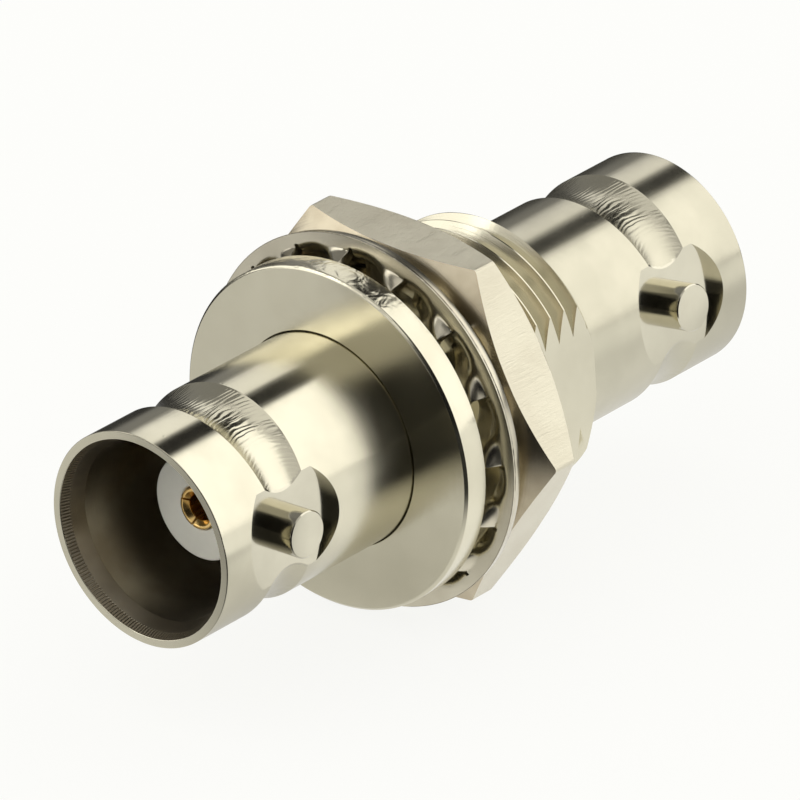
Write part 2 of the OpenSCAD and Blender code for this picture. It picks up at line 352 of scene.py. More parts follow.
def add_relief(material, height):
    """Adds a height, in millimetres, to the relief that a material already has."""
    tree = material.node_tree
    bump = tree.nodes["Bump"]
    old = bump.inputs["Height"].links[0].from_socket
    tree.links.new(compute(tree, "ADD", old, height), bump.inputs["Height"])


# each metal: tints, roughness, turned look, lines per mm and their waver, depth of lines and specks
NICKEL = ((0.66, 0.625, 0.485), (0.62, 0.585, 0.45))
# the rear jack's nickel is the front nickel dimmed by about an eighth: painted shade on the far
# jack
REAR_NICKEL_PAINTED_SHADE = ((0.58, 0.548, 0.425), (0.54, 0.512, 0.395))
bright_nickel = metal("bright nickel", NICKEL, 0.165, 0.9, 7.0, 0.5, 0.0014, 0.003)
faced_nickel = metal("faced nickel", NICKEL, 0.18, 0.8, 9.0, 0.3, 0.0028, 0.004)
rear_nickel_painted_shade = metal("bright nickel, rear, painted shade", REAR_NICKEL_PAINTED_SHADE, 0.24, 0.8, 7.0, 0.5, 0.0018, 0.003)
milled_nickel = metal(
    "milled nickel", ((0.60, 0.57, 0.45), (0.55, 0.52, 0.41)), 0.13, 0, 2.0, 2.0, 0.0012, 0.002)
washer_nickel = metal(
    "washer nickel", ((0.60, 0.56, 0.44), (0.52, 0.48, 0.37)), 0.25, 0, 2.0, 3.0, 0.003, 0.003)
nut_nickel = metal(
    "ground nickel", ((0.60, 0.565, 0.44), (0.56, 0.52, 0.40)), 0.30, 0, 3.0, 2.0, 0.0005, 0.003)
# the nut's turned ends and corner cones get the nickel darkened and browned: painted shade
nut_face_nickel_painted_shade = metal(
    "turned nut face, painted shade", ((0.55, 0.49, 0.36), (0.42, 0.36, 0.25)), 0.20, 0.7, 7.0, 0.8, 0.004, 0.004)
gilt = metal("gilt", ((1.0, 0.74, 0.32), (0.94, 0.62, 0.22)), 0.20, 0, 10.0, 0.5, 0.001, 0.002)

# %% Marks of the band cutter and of the lead-in tool
def band_chatter(material, rim_y, way):
    """Chatter where the form cutter swept the band: ridges across the sweep, bowed at its edges."""
    tree = material.node_tree
    radius, angle, x, y, z = about_axis(tree)
    from_middle = compute(tree, "SUBTRACT", y, rim_y + way * lug_from_rim)
    bow = product(tree, from_middle, from_middle, 0.22)
    along = linear(tree, angle, barrel_r, bow)
    place = vector(tree, along, product(tree, from_middle, 0.4))
    uneven = noise(tree, place, 1.6, 2.0, 0.5)
    even_beat = product(tree, along, 2 * math.pi / ridge_pitch)
    beat = linear(tree, uneven, 16.0, even_beat)
    ridges = product(tree, compute(tree, "SINE", beat), uneven)
    off_middle = compute(tree, "ABSOLUTE", from_middle)
    mask = product(
        tree,
        compute(tree, "LESS_THAN", off_middle, band_w / 2 + 0.02),
        ramp(tree, radius, barrel_r - 0.01, barrel_r - 0.06),
        compute(tree, "GREATER_THAN", radius, mouth_r),
        compute(tree, "LESS_THAN", compute(tree, "ABSOLUTE", x), spot_face_r - 0.03))
    # the ridges are strong high on the barrel and at the band's edges, and fade in its middle
    high = ramp(tree, compute(tree, "ABSOLUTE", z), 2.6, 4.2)
    edge = ramp(tree, off_middle, 0.6, 1.3)
    strength = linear(tree, compute(tree, "MAXIMUM", high, edge), 0.008, 0.001)
    add_relief(material, product(tree, mask, ridges, strength))


def bore_nickel_painted_shade(name, rim_y, way):
    """The mouth's inside: dull, with fine ribs that the lead-in tool left, and a darker, browner
    tint that is painted shade in the recess.
    """
    # the two tints below are the nickel darkened and browned: painted shade inside the mouth
    material = metal(
        name, ((0.46, 0.41, 0.31), (0.34, 0.295, 0.215)), 0.34, 0.4, 5.0, 1.5, 0.004, 0.002)
    tree = material.node_tree
    radius, angle, x, y, z = about_axis(tree)
    ribs = compute(tree, "SINE", product(tree, angle, ribs_round_mouth))
    depth = product(tree, compute(tree, "SUBTRACT", y, rim_y), way)
    mask = ramp(tree, depth, lead_ribs_y + 0.06, lead_ribs_y)
    add_relief(material, product(tree, mask, ribs, 0.014))
    return material


ridge_pitch = 0.24
ribs_round_mouth = 190.0
band_chatter(bright_nickel, front_rim_y, 1)
band_chatter(rear_nickel_painted_shade, rear_rim_y, -1)
front_bore = bore_nickel_painted_shade("bored nickel with painted shade, front", front_rim_y, 1)
rear_bore = bore_nickel_painted_shade("bored nickel with painted shade, rear", rear_rim_y, -1)

# %% Ground flats and scuffs
def grain_and_scratches(material):
    """Fine grain along the drawn hex bar, and a few scratches."""
    tree = material.node_tree
    point = object_place(tree)[0]

    def streaks(scale, detail):
        stretch = add_node(tree, "ShaderNodeMapping", {0: point})
        stretch.inputs["Scale"].default_value = scale
        return noise(tree, stretch.outputs[0], 1.0, detail, 0.7)

    grain = product(tree, streaks((9.0, 1.3, 9.0), 4.0), 0.022)
    scratch = product(tree, ramp(tree, streaks((3.5, 0.4, 3.5), 2.0), 0.63, 0.70), -0.006)
    add_relief(material, compute(tree, "ADD", grain, scratch))


def rim_scuffs(material):
    """Scuffs on the top of the flange's rim, where it has been rolled over a bench."""
    tree = material.node_tree
    radius, angle, x, y, z = about_axis(tree)
    scuffs = noise(tree, object_place(tree)[0], 1.3, 2.0, 0.5, distortion=0.5)
    at_rim = ramp(tree, radius, flange_r - 0.1, flange_r - 0.03)
    add_relief(material, product(tree, scuffs, at_rim, ramp(tree, z, 4.8, 7.2), 0.06))


def sheared_edge(material):
    """Short marks across the washer's rim, which the blanking punch left."""
    tree = material.node_tree
    radius, angle, x, y, z = about_axis(tree)
    place = vector(tree, product(tree, angle, washer_r), product(tree, y, 0.5))
    marks = noise(tree, place, 3.0, 2.0, 0.6)
    at_rim = ramp(tree, radius, washer_r - 0.03, washer_r - 0.01)
    add_relief(material, product(tree, marks, at_rim, 0.05))


grain_and_scratches(nut_nickel)
rim_scuffs(faced_nickel)
sheared_edge(washer_nickel)

# %% Moulded insulator
def moulded_white():
    """White fluoropolymer: slightly translucent, waxy, with faint turning lines."""
    material, tree, surface = new_material("white insulator")
    cloudy_tint(tree, 0.5, ((0.78, 0.77, 0.68), (0.72, 0.71, 0.62)))
    surface.inputs["Roughness"].default_value = 0.42
    surface.inputs["Subsurface Weight"].default_value = 0.2
    surface.inputs["Subsurface Radius"].default_value = (0.5, 0.5, 0.45)
    surface.inputs["Subsurface Scale"].default_value = MM
    line = place_group(tree, turning_lines, Lines_per_mm=12.0, Waver=0.2)
    bump = add_node(tree, "ShaderNodeBump", {
        "Height": product(tree, line.outputs[0], 0.002), "Distance": MM})
    tree.links.new(bump.outputs[0], surface.inputs["Normal"])
    return material


white_insulator = moulded_white()

# %% [markdown]
# ## Turning a profile
# Nearly every piece here comes off a lathe, so the main tool is a lathe too: a closed outline of
# radius and axial place, spun about the Y axis. Real edges are never perfectly sharp, and a mirror
# finish shows it as a thin bright line, so the outline's corners are rounded before they are spun.

# %% Lathe, rounding and cutting tools
FINE = 256


def rounded(outline, radius, steps=3):
    """A closed outline with each corner replaced by an arc of the given radius."""
    points = []
    count = len(outline)
    for i, corner in enumerate(outline):
        here = Vector(corner)
        before = Vector(outline[i - 1]) - here
        after = Vector(outline[(i + 1) % count]) - here
        if here[0] == 0:
            points.append(tuple(here))
            continue
        turn = before.angle(after)
        setback = min(radius / math.tan(turn / 2), before.length * 0.45, after.length * 0.45)
        if turn > math.radians(175) or setback < 1e-4:
            points.append(tuple(here))
            continue
        start = here + before.normalized() * setback
        end = here + after.normalized() * setback
        for step in range(steps + 1):
            t = step / steps
            point = start * (1 - t) ** 2 + here * 2 * t * (1 - t) + end * t ** 2
            points.append(tuple(point))
    return points


def new_object(name, vertices, faces):
    """A mesh object from vertices in millimetres."""
    mesh = bpy.data.meshes.new(name)
    mesh.from_pydata([Vector(v) * MM for v in vertices], [], faces)
    mesh.validate()
    piece = bpy.data.objects.new(name, mesh)
    bpy.context.collection.objects.link(piece)
    return piece


def lathe(name, outline, segments=FINE):
    """A closed solid: (radius, y) points spun about the Y axis. A radius of 0 is a pole."""
    vertices = []
    rings = []
    for radius, y in outline:
        first = len(vertices)
        if radius == 0:
            vertices.append((0, y, 0))
            rings.append([first] * segments)
            continue
        for i in range(segments):
            angle = 2 * math.pi * i / segments
            vertices.append((radius * math.cos(angle), y, radius * math.sin(angle)))
        rings.append([first + i for i in range(segments)])
    faces = []
    for j, ring in enumerate(rings):
        after = rings[(j + 1) % len(rings)]
        for i in range(segments):
            k = (i + 1) % segments
            corners = list(dict.fromkeys((ring[i], after[i], after[k], ring[k])))
            if len(corners) > 2:
                faces.append(corners)
    piece = new_object(name, vertices, faces)
    outwards(piece)
    return piece


def edit(piece, *steps):
    """Runs steps on a piece's mesh while it is open for editing."""
    work = bmesh.new()
    work.from_mesh(piece.data)
    for step in steps:
        step(work)
    work.to_mesh(piece.data)
    work.free()


def outwards(piece):
    """Makes a closed piece's faces point outwards."""
    edit(piece, lambda work: bmesh.ops.recalc_face_normals(work, faces=work.faces))


def bake(piece):
    """Turns a piece's modifiers into its mesh."""
    depsgraph = bpy.context.evaluated_depsgraph_get()
    mesh = bpy.data.meshes.new_from_object(piece.evaluated_get(depsgraph))
    piece.modifiers.clear()
    old = piece.data
    piece.data = mesh
    bpy.data.meshes.remove(old)
    return piece


def weld(piece):
    """Merges the tiny edges that a cut leaves, so that the next cut finds a closed solid."""
    same_point, sliver = 0.0004 * MM, 0.0002 * MM
    edit(piece,
         lambda work: bmesh.ops.remove_doubles(work, verts=work.verts, dist=same_point),
         lambda work: bmesh.ops.dissolve_degenerate(work, edges=work.edges, dist=sliver))


def boolean(piece, tool, operation):
    """Cuts a tool from a piece, adds it, or keeps what both share, and removes the tool."""
    modifier = piece.modifiers.new("boolean", "BOOLEAN")
    modifier.solver = "EXACT"
    modifier.operation = operation
    modifier.object = tool
    bake(piece)
    bpy.data.objects.remove(tool)
    weld(piece)
    return piece


def shift(x=0.0, y=0.0, z=0.0):
    """A move by millimetres."""
    return Matrix.Translation(Vector((x, y, z)) * MM)


def about_y(degrees):
    """A turn about the adapter's axis that takes +X towards +Z."""
    return Matrix.Rotation(math.radians(-degrees), 4, "Y")


def turned(piece, *moves):
    """Moves a mesh's points by each matrix in order, and leaves its object at the origin."""
    for move in moves:
        piece.data.transform(move)
    return piece


def block(sides, *moves):
    """A box with these sides in millimetres, centred on the origin and then moved."""
    bpy.ops.mesh.primitive_cube_add(size=1)
    size = Matrix.Diagonal((*(side * MM for side in sides), 1))
    return turned(bpy.context.object, size, *moves)


def polish(piece, angle=9, flat=None):
    """Smooth shading that stops at real edges, with normals that follow the large faces.

    Faces that flat chooses, by centre in millimetres and normal, stay perfectly flat.
    """
    piece.data.shade_smooth()
    if flat:
        for face in piece.data.polygons:
            face.use_smooth = not flat(face.center / MM, face.normal)
    piece.data.set_sharp_from_angle(angle=math.radians(angle))
    modifier = piece.modifiers.new("even normals", "WEIGHTED_NORMAL")
    modifier.keep_sharp = True
    bake(piece)
    if flat:
        normals = [Vector(corner.vector) for corner in piece.data.corner_normals]
        for face in piece.data.polygons:
            if flat(face.center / MM, face.normal):
                for i in face.loop_indices:
                    normals[i] = face.normal
        piece.data.normals_split_custom_set(normals)
    return piece


# %% [markdown]
# ## One jack
# Each jack starts as a turned tube. A hollow mill then leaves a flat spot with a pin standing in
# it, on two sides, and a form cutter takes a shallow band between the spots, which lets the
# mating sleeve's springs pass. The order below is the machinist's: turn, mill the bands, mill the
# spots, and set the lugs.

# %% Milling tools and the jack
rim_edge = 0.04
lead_depth = 1.1
lip_t = 1.0
lug_root = 0.2
clear_of_barrel = 2.2 * barrel_r


def band_cutter(name):
    """The form cutter's sweep over the +Z side of a jack with its rim at y = 0."""
    sweep_r = barrel_r - band_depth + band_drop
    hollow_r = ((band_w / 2) ** 2 + band_depth ** 2) / (2 * band_depth)
    half_hollow = math.asin(band_w / 2 / hollow_r)
    steps = 24
    floor_line = []
    for i in range(steps + 1):
        a = half_hollow * (2 * i / steps - 1)
        floor_line.append((sweep_r + hollow_r - hollow_r * math.cos(a), hollow_r * math.sin(a)))
    outline = floor_line + [(clear_of_barrel, band_w / 2), (clear_of_barrel, -band_w / 2)]
    return turned(lathe(name, outline, 360), shift(y=lug_from_rim, z=-band_drop))


def pin(name, outline, segments=96):
    """A short pin along +X, centred on a lug, from (radius, x) points."""
    stand = Matrix.Rotation(math.radians(-90), 4, "Z")
    return turned(lathe(name, outline, segments), shift(y=lug_from_rim) @ stand)


def jack(name, back_y):
    """A jack with its rim at y = 0, running back along +Y to back_y."""
    outline = rounded([
        (mouth_r, 0), (barrel_r, 0), (barrel_r, back_y), (insulator_r, back_y),
        (insulator_r, mouth_depth + lip_t), (lip_r, mouth_depth + lip_t),
        (lip_r, mouth_depth), (bore_r, mouth_depth), (bore_r, lead_depth)], rim_edge)
    piece = lathe(name, outline)
    for side in (0, 180):
        cutter = turned(band_cutter("band cutter"), about_y(side))
        boolean(piece, cutter, "DIFFERENCE")
    high = 2 * barrel_r
    for side in (0, 180):
        mill = pin("spot mill", [
            (0, spot_face_r), (spot_r, spot_face_r), (spot_r, high), (0, high)], 160)
        boolean(piece, turned(mill, about_y(side)), "DIFFERENCE")
    root = spot_face_r - lug_root
    for side in (0, 180):
        lug = pin("lug", rounded([
            (0, root), (lug_r, root), (lug_r, lug_tip_r - lug_edge),
            (lug_r - lug_edge, lug_tip_r), (0, lug_tip_r)], 0.02))
        boolean(piece, turned(lug, about_y(side)), "UNION")
    return piece


def milled_flat(point, normal):
    """Whether a face belongs to a spot's flat floor."""
    return abs(normal.y) < 0.01 and abs(point.dot(normal) - spot_face_r) < 0.01


front_jack = jack("front_jack", front_tail_y - front_rim_y)
turned(front_jack, shift(y=front_rim_y))
polish(front_jack, flat=milled_flat)
rear_jack = jack("rear_jack", rear_jack_len + 2)
turned(rear_jack, shift(y=rear_rim_y) @ about_y(rear_jack_turn) @ Matrix.Rotation(math.pi, 4, "Z"))
polish(rear_jack, flat=milled_flat)
for piece in (front_jack, rear_jack):
    print(piece.name, len(piece.data.polygons), "faces")

# %% [markdown]
# ## Flange and thread
# The body is one turned ring: flange, thread and a socket for the front jack's tail. Its thread is
# a rule more than a shape, because a 60 degree groove climbs by one pitch in each turn. So a small
# Geometry Nodes tree lays a strip of cells along that helix, and the closed strip is the cutter
# that the threading tool sweeps. Its depth fades at both ends, as a tool's run-in does.

# %% Helpers for growing shapes
def shape_tree(name, *sizes):
    """An empty Geometry Nodes tree with named number inputs, and a dict of their sockets."""
    tree = bpy.data.node_groups.new(name, "GeometryNodeTree")
    tree.interface.new_socket("Geometry", in_out="OUTPUT", socket_type="NodeSocketGeometry")
    for label in sizes:
        tree.interface.new_socket(label, in_out="INPUT", socket_type="NodeSocketFloat")
    tree.interface.new_socket("Finish", in_out="INPUT", socket_type="NodeSocketMaterial")
    entry = tree.nodes.new("NodeGroupInput")
    return tree, {label: entry.outputs[label] for label in [*sizes, "Finish"]}


def end_tree(tree, geometry, finish):
    """Ends a tree with Set Material."""
    dressed = add_node(tree, "GeometryNodeSetMaterial", {"Geometry": geometry, "Material": finish})
    end = tree.nodes.new("NodeGroupOutput")
    tree.links.new(dressed.outputs[0], end.inputs[0])
    return tree


def grow(name, tree, sizes, material):
    """A mesh made by a tree with these input values, in metres at the origin."""
    piece = new_object(name, [], [])
    modifier = piece.modifiers.new("shape", "NODES")
    modifier.node_group = tree
    values = {**{label: float(size) for label, size in sizes.items()}, "Finish": material}
    for item in tree.interface.items_tree:
        if item.in_out == "INPUT":
            modifier[item.identifier] = values[item.name]
    return bake(piece)


def sheet_grid(tree, columns, rows):
    """A grid's geometry, and its column and row numbers as fields."""
    grid = add_node(tree, "GeometryNodeMeshGrid", {
        "Size X": 1.0, "Size Y": 1.0, "Vertices X": columns + 1, "Vertices Y": rows + 1})
    place = tree.nodes.new("GeometryNodeInputPosition")
    split = add_node(tree, "ShaderNodeSeparateXYZ", {0: place.outputs[0]})
    across = linear(tree, split.outputs[0], columns, columns / 2)
    column = compute(tree, "ROUND", across)
    row = compute(tree, "ROUND", linear(tree, split.outputs[1], rows, rows / 2))
    return grid.outputs["Mesh"], column, row


def choose(tree, share, first, second):
    """A number between two others: the first at 0 and the second at 1."""
    return add_node(tree, "ShaderNodeMix", {0: share, 2: first, 3: second}).outputs[0]


def polar(tree, radius, angle, y):
    """A point from its radius, its angle from +X towards +Z and its place along the axis."""
    x = product(tree, radius, compute(tree, "COSINE", angle))
    z = product(tree, radius, compute(tree, "SINE", angle))
    return scaled(tree, vector(tree, x, y, z), MM)


# %% The threading tool's sweep
groove_turns = 11
groove_start_y = 0.58
groove_start_angle = 0.9
overshoot = 0.05


def groove_tree():
    """A closed V-shaped strip along a helix about the Y axis."""
    tree, size = shape_tree("helical groove", "Crest radius", "Root radius", "Half width",
                            "Pitch", "Turns", "Start", "Angle")
    per_turn = 160
    mesh, step, side = sheet_grid(tree, per_turn * groove_turns, 3)
    along = compute(tree, "DIVIDE", step, per_turn * groove_turns)
    fade = product(tree, ramp(tree, along, 0.0, 0.04), ramp(tree, along, 1.0, 0.97))
    at_root = compute(tree, "COMPARE", side, 1.0, 0.1)
    at_far_side = compute(tree, "COMPARE", side, 2.0, 0.1)
    sideways = linear(tree, at_far_side, 2.0, at_root)
    sideways = compute(tree, "SUBTRACT", sideways, 1.0)
    depth = compute(tree, "SUBTRACT", size["Root radius"], size["Crest radius"])
    depth = product(tree, depth, at_root)
    radius = linear(tree, depth, fade, size["Crest radius"])
    turn = product(tree, along, size["Turns"])
    centre = linear(tree, turn, size["Pitch"], size["Start"])
    reach = product(tree, sideways, size["Half width"], fade)
    y = compute(tree, "ADD", centre, reach)
    angle = linear(tree, turn, -2 * math.pi, size["Angle"])
    moved = add_node(tree, "GeometryNodeSetPosition", {
        "Geometry": mesh, "Position": polar(tree, radius, angle, y)})
    closed = add_node(tree, "GeometryNodeMergeByDistance", {
        "Geometry": moved.outputs[0], "Distance": 1e-7})
    real = add_node(tree, "GeometryNodeRealizeInstances", {"Geometry": closed.outputs[0]})
    return end_tree(tree, real.outputs[0], size["Finish"])


groove = grow("thread groove", groove_tree(), {
    "Crest radius": thread_r + overshoot,
    "Root radius": thread_r - thread_depth,
    "Half width": 0.5 * thread_pitch,
    "Pitch": thread_pitch,
    "Turns": groove_turns,
    "Start": groove_start_y,
    "Angle": groove_start_angle}, faced_nickel)
outwards(groove)
print("thread cutter", len(groove.data.polygons), "faces")

# %% The flanged, threaded body
flange_edge = 0.12
thread_chamfer = 1.0
socket_end_y = flange_face_y + 6


def threaded_body():
    """The ring of flange and thread, with the groove and the D flat cut."""
    outline = rounded([
        (seam_r, flange_face_y), (flange_r - flange_edge, flange_face_y),
        (flange_r, flange_face_y + flange_edge), (flange_r, -flange_edge),
        (flange_r - flange_edge, 0), (thread_r, 0), (thread_r, thread_end_y - thread_chamfer),
        (thread_r - thread_chamfer, thread_end_y), (barrel_r - 0.02, thread_end_y),
        (barrel_r - 0.02, socket_end_y), (barrel_r + 0.004, socket_end_y),
        (barrel_r + 0.004, flange_face_y + 2.5 * (seam_r - barrel_r))], 0.03)
    piece = lathe("flanged_body", outline, 320)
    boolean(piece, groove, "DIFFERENCE")
    depth, length, width = 10, thread_end_y + 0.02, 30
    flat = block((depth, length, width), shift(flat_from_axis + depth / 2, length / 2 + 0.02))
    boolean(piece, flat, "DIFFERENCE")
    return polish(piece)


body = threaded_body()
print("body", len(body.data.polygons), "faces")

# %% [markdown]
# ## Lock washer
# The washer's teeth are cut from one ring and each is twisted, so that one corner bites the flange
# and the other the nut. One tooth is a bent sheet that follows a formula; the tree makes it once,
# sets it round the ring, and a Solidify modifier gives the sheet its thickness.

# %% The washer
def washer_tree():
    """The middle surface of an internal-tooth lock washer."""
    tree, size = shape_tree(
        "twisted teeth", "Outer radius", "Cut radius", "Tip radius", "Back bend from",
        "Back bend to", "Front bend from", "Front bend to", "Cut width", "Lift", "Dish",
        "Ring wave", "Skew", "Middle", "Turn")
    across_cells, ring_rows, tooth_rows = 36, 10, 14
    pitch = 2 * math.pi / washer_teeth
    mesh, column, row = sheet_grid(tree, across_cells + 1, ring_rows + tooth_rows)

    in_cut = compute(tree, "GREATER_THAN", column, across_cells - 0.1)
    past_ring = compute(tree, "GREATER_THAN", row, ring_rows + 0.6)
    trimmed = add_node(tree, "GeometryNodeDeleteGeometry", {
        "Geometry": mesh, "Selection": product(tree, in_cut, past_ring)}, domain="FACE")

    ring_part = compute(tree, "DIVIDE", compute(tree, "MINIMUM", row, ring_rows), ring_rows)
    past_rows = compute(tree, "MAXIMUM", compute(tree, "SUBTRACT", row, ring_rows), 0.0)
    tooth_part = compute(tree, "DIVIDE", past_rows, tooth_rows)
    ring_width = compute(tree, "SUBTRACT", size["Cut radius"], size["Outer radius"])
    tooth_length = compute(tree, "SUBTRACT", size["Tip radius"], size["Cut radius"])
    radius = linear(tree, ring_part, ring_width, size["Outer radius"])
    radius = linear(tree, tooth_part, tooth_length, radius)

    half_cut = compute(tree, "DIVIDE", size["Cut width"], 2.0)
    inner = compute(tree, "MINIMUM", radius, size["Cut radius"])
    half_angle = compute(tree, "SUBTRACT", pitch / 2, compute(tree, "DIVIDE", half_cut, inner))
    across = linear(tree, column, 2 / across_cells, -1.0)
    next_tooth = compute(tree, "GREATER_THAN", column, across_cells + 0.5)
    own_angle = product(tree, across, half_angle)
    next_angle = compute(tree, "SUBTRACT", pitch, half_angle)
    angle = choose(tree, next_tooth, own_angle, next_angle)
    across = choose(tree, next_tooth, across, -1.0)
    angle = compute(tree, "ADD", angle, size["Turn"])

    # the end towards the nut bends early, in the ring, and the end towards the flange later
    bend_back = ramp(tree, radius, size["Back bend from"], size["Back bend to"])
    bend_front = ramp(tree, radius, size["Front bend from"], size["Front bend to"])
    free = ramp(tree, radius, size["Cut radius"], size["Front bend to"])
    ring_wave = compute(tree, "SINE", product(tree, across, math.pi))
    ring_wave = product(tree, ring_wave, size["Ring wave"])
    square = product(tree, across, across)
    tooth_wave = compute(tree, "SUBTRACT", product(tree, across, 1.5),
                         product(tree, square, across, 0.5))
    skew = product(tree, compute(tree, "SUBTRACT", 1.0, square), size["Skew"])
    tooth_wave = compute(tree, "ADD", tooth_wave, skew)
    wave = choose(tree, free, ring_wave, tooth_wave)
    back = product(tree, compute(tree, "MAXIMUM", wave, 0.0), bend_back)
    front = product(tree, compute(tree, "MINIMUM", wave, 0.0), bend_front)
    lift = product(tree, compute(tree, "ADD", back, front), size["Lift"])
    # the rim stands a little behind the bend, as on a dished washer
    outer = compute(tree, "SUBTRACT", radius, size["Front bend from"])
    outer = compute(tree, "MAXIMUM", outer, 0.0)
    dished = linear(tree, outer, size["Dish"], size["Middle"])
    y = compute(tree, "ADD", lift, dished)
    moved = add_node(tree, "GeometryNodeSetPosition", {
        "Geometry": trimmed.outputs[0], "Position": polar(tree, radius, angle, y)})

    places = add_node(tree, "GeometryNodeMeshLine", {
        "Count": washer_teeth, "Offset": (0.0, 0.0, 0.0)})
    number = tree.nodes.new("GeometryNodeInputIndex")
    spin = vector(tree, y=product(tree, number.outputs[0], pitch))
    teeth = add_node(tree, "GeometryNodeInstanceOnPoints", {
        "Points": places.outputs[0], "Instance": moved.outputs[0], "Rotation": spin})
    real = add_node(tree, "GeometryNodeRealizeInstances", {"Geometry": teeth.outputs[0]})
    welded = add_node(tree, "GeometryNodeMergeByDistance", {
        "Geometry": real.outputs[0], "Distance": 2e-7})
    return end_tree(tree, welded.outputs[0], size["Finish"])


washer_t = 0.47
sheet_lean = 0.045


def lock_washer():
    """The washer's ring and teeth, with the thickness and the fine bevels of a stamping."""
    piece = grow("lock_washer_ring", washer_tree(), {
        "Outer radius": washer_r - sheet_lean,
        "Cut radius": washer_r - 0.5,
        "Tip radius": thread_r + 0.1,
        "Back bend from": washer_r - 0.35,
        "Back bend to": washer_r - 1.15,
        "Front bend from": washer_r - 0.6,
        "Front bend to": washer_r - 1.15,
        "Cut width": 0.1,
        "Lift": (washer_high_y - washer_low_y - washer_t) / 2 - 0.02,
        "Dish": 0.18,
        "Ring wave": 0.35,
        "Skew": 0.4,
        "Middle": (washer_low_y + washer_high_y) / 2,
        "Turn": math.radians(-11.75)}, washer_nickel)
    wall = piece.modifiers.new("sheet", "SOLIDIFY")
    wall.thickness = washer_t * MM
    wall.offset = 0
    bake(piece)
    outwards(piece)
    burr = piece.modifiers.new("sheared corners", "BEVEL")
    burr.width = 0.045 * MM
    burr.segments = 2
    burr.limit_method = "ANGLE"
    burr.angle_limit = math.radians(55)
    bake(piece)
    return polish(piece, 40)


washer = lock_washer()
print("washer", len(washer.data.polygons), "faces")

# %% [markdown]
# ## Hex nut
# A hex bar is parted off and its corners are turned to a cone, which leaves the curved corner
# lines where cone and flats meet. That is one intersection here: prism with double cone.

# %% The nut
def hex_nut():
    """The nut at its place on the axis, with turned corners and a bevelled bore."""
    corner_r = nut_af / 2 / math.cos(math.pi / 6)
    corners = [(corner_r * math.cos(math.radians(60 * i - nut_turn)),
                corner_r * math.sin(math.radians(60 * i - nut_turn))) for i in range(6)]
    vertices = [(x, y, z) for y in (nut_face_y, nut_back_y) for x, z in corners]
    faces = [tuple(range(6)), tuple(range(11, 5, -1))]
    faces += [(i, i + 6, (i + 1) % 6 + 6, (i + 1) % 6) for i in range(6)]
    piece = new_object("hex_nut_solid", vertices, faces)
    outwards(piece)
    soften = piece.modifiers.new("corners", "BEVEL")
    soften.width = 0.15 * MM
    soften.segments = 3
    bake(piece)
    middle = (nut_face_y + nut_back_y) / 2
    face_r = 7.7
    past = 0.001
    reach = face_r + (nut_back_y - nut_face_y) / 2 / math.tan(math.radians(30))
    cone = lathe("corner cone", [
        (0, nut_face_y - past), (face_r, nut_face_y - past), (reach, middle),
        (face_r, nut_back_y + past), (0, nut_back_y + past)], 320)
    boolean(piece, cone, "INTERSECT")
    bore = thread_r + 0.05
    lead = 0.35
    drill = lathe("nut bore", [
        (0, nut_face_y - 1), (bore + lead + 1, nut_face_y - 1), (bore, nut_face_y + lead),
        (bore, nut_back_y - lead), (bore + lead + 1, nut_back_y + 1), (0, nut_back_y + 1)])
    boolean(piece, drill, "DIFFERENCE")
    return polish(piece, 12)


nut = hex_nut()
print("nut", len(nut.data.polygons), "faces")

# %% [markdown]
# ## Insulators and contact
# Both insulators are the same turning, seen only as a white nose in each mouth. The contact is one
# gilt pin socket for both jacks, slit from each end so that its fingers grip the mating pin.

# %% Insulators and contact
nose_edge = 0.12
contact_clear = 0.05
shell_clear = 0.02


def insulator(name, nose_y, back_y):
    """One insulator: nose, shoulder against the lip, and a body with a bore for the contact."""
    way = 1 if back_y > nose_y else -1
    shoulder_y = nose_y + way * (mouth_depth - (front_nose_y - front_rim_y))
    lip_y = shoulder_y + way * lip_t
    bore, lip, seat = contact_r + contact_clear, lip_r - shell_clear, insulator_r - shell_clear
    shoulder_y -= way * shell_clear
    return polish(lathe(name, rounded([
        (bore, nose_y), (nose_r, nose_y), (nose_r, shoulder_y), (lip, shoulder_y),
        (lip, lip_y), (seat, lip_y), (seat, back_y), (bore, back_y)], nose_edge, 5), 192), 40)


def contact_socket():
    """The double-ended socket, drilled and slit from both ends."""
    pin_depth, lead, mouth = 6.0, 0.2, contact_bore_r + 0.2
    front, rear = front_contact_y, rear_contact_y
    piece = lathe("contact_socket", rounded([
        (0, front + pin_depth), (contact_bore_r, front + pin_depth),
        (contact_bore_r, front + lead), (mouth, front), (contact_r, front), (contact_r, rear),
        (mouth, rear), (contact_bore_r, rear - lead), (contact_bore_r, rear - pin_depth),
        (0, rear - pin_depth)], 0.05), 128)
    slit_w, slit_depth, slit_turn, slits = 0.1, 4.2, -22, 4
    for end_y, way in ((front, 1), (rear, -1)):
        for i in range(slits):
            slit = block(
                (2, slit_depth + 1, slit_w), shift(x=1), about_y(slit_turn + 360 / slits * i),
                shift(y=end_y + way * (slit_depth - 1) / 2))
            boolean(piece, slit, "DIFFERENCE")
    return polish(piece, 35)


front_insulator = insulator("front_nose", front_nose_y, middle_y)
rear_insulator = insulator("rear_nose", rear_nose_y, middle_y)
contact = contact_socket()
print("contact", len(contact.data.polygons), "faces")

# %% [markdown]
# ## Bodies and nodes
# Each piece rides on the body that it moves with and hides the CAD node that it stands for. The
# jacks and the nut have other finishes on some faces: dull and darkened with painted shade in the
# mouth, cleanly milled in the spots, and turned and darkened with painted shade on the nut's two
# ends.

# %% Which finish, body and node each piece has
def finish(piece, body_name, node, slot, *materials):
    """Gives a piece its finish and its body, and hides the CAD node that it stands for."""
    piece.data.materials.clear()
    for material in materials:
        piece.data.materials.append(material)
    for face in piece.data.polygons:
        face.material_index = 0
    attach(piece, body_name)
    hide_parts(node)


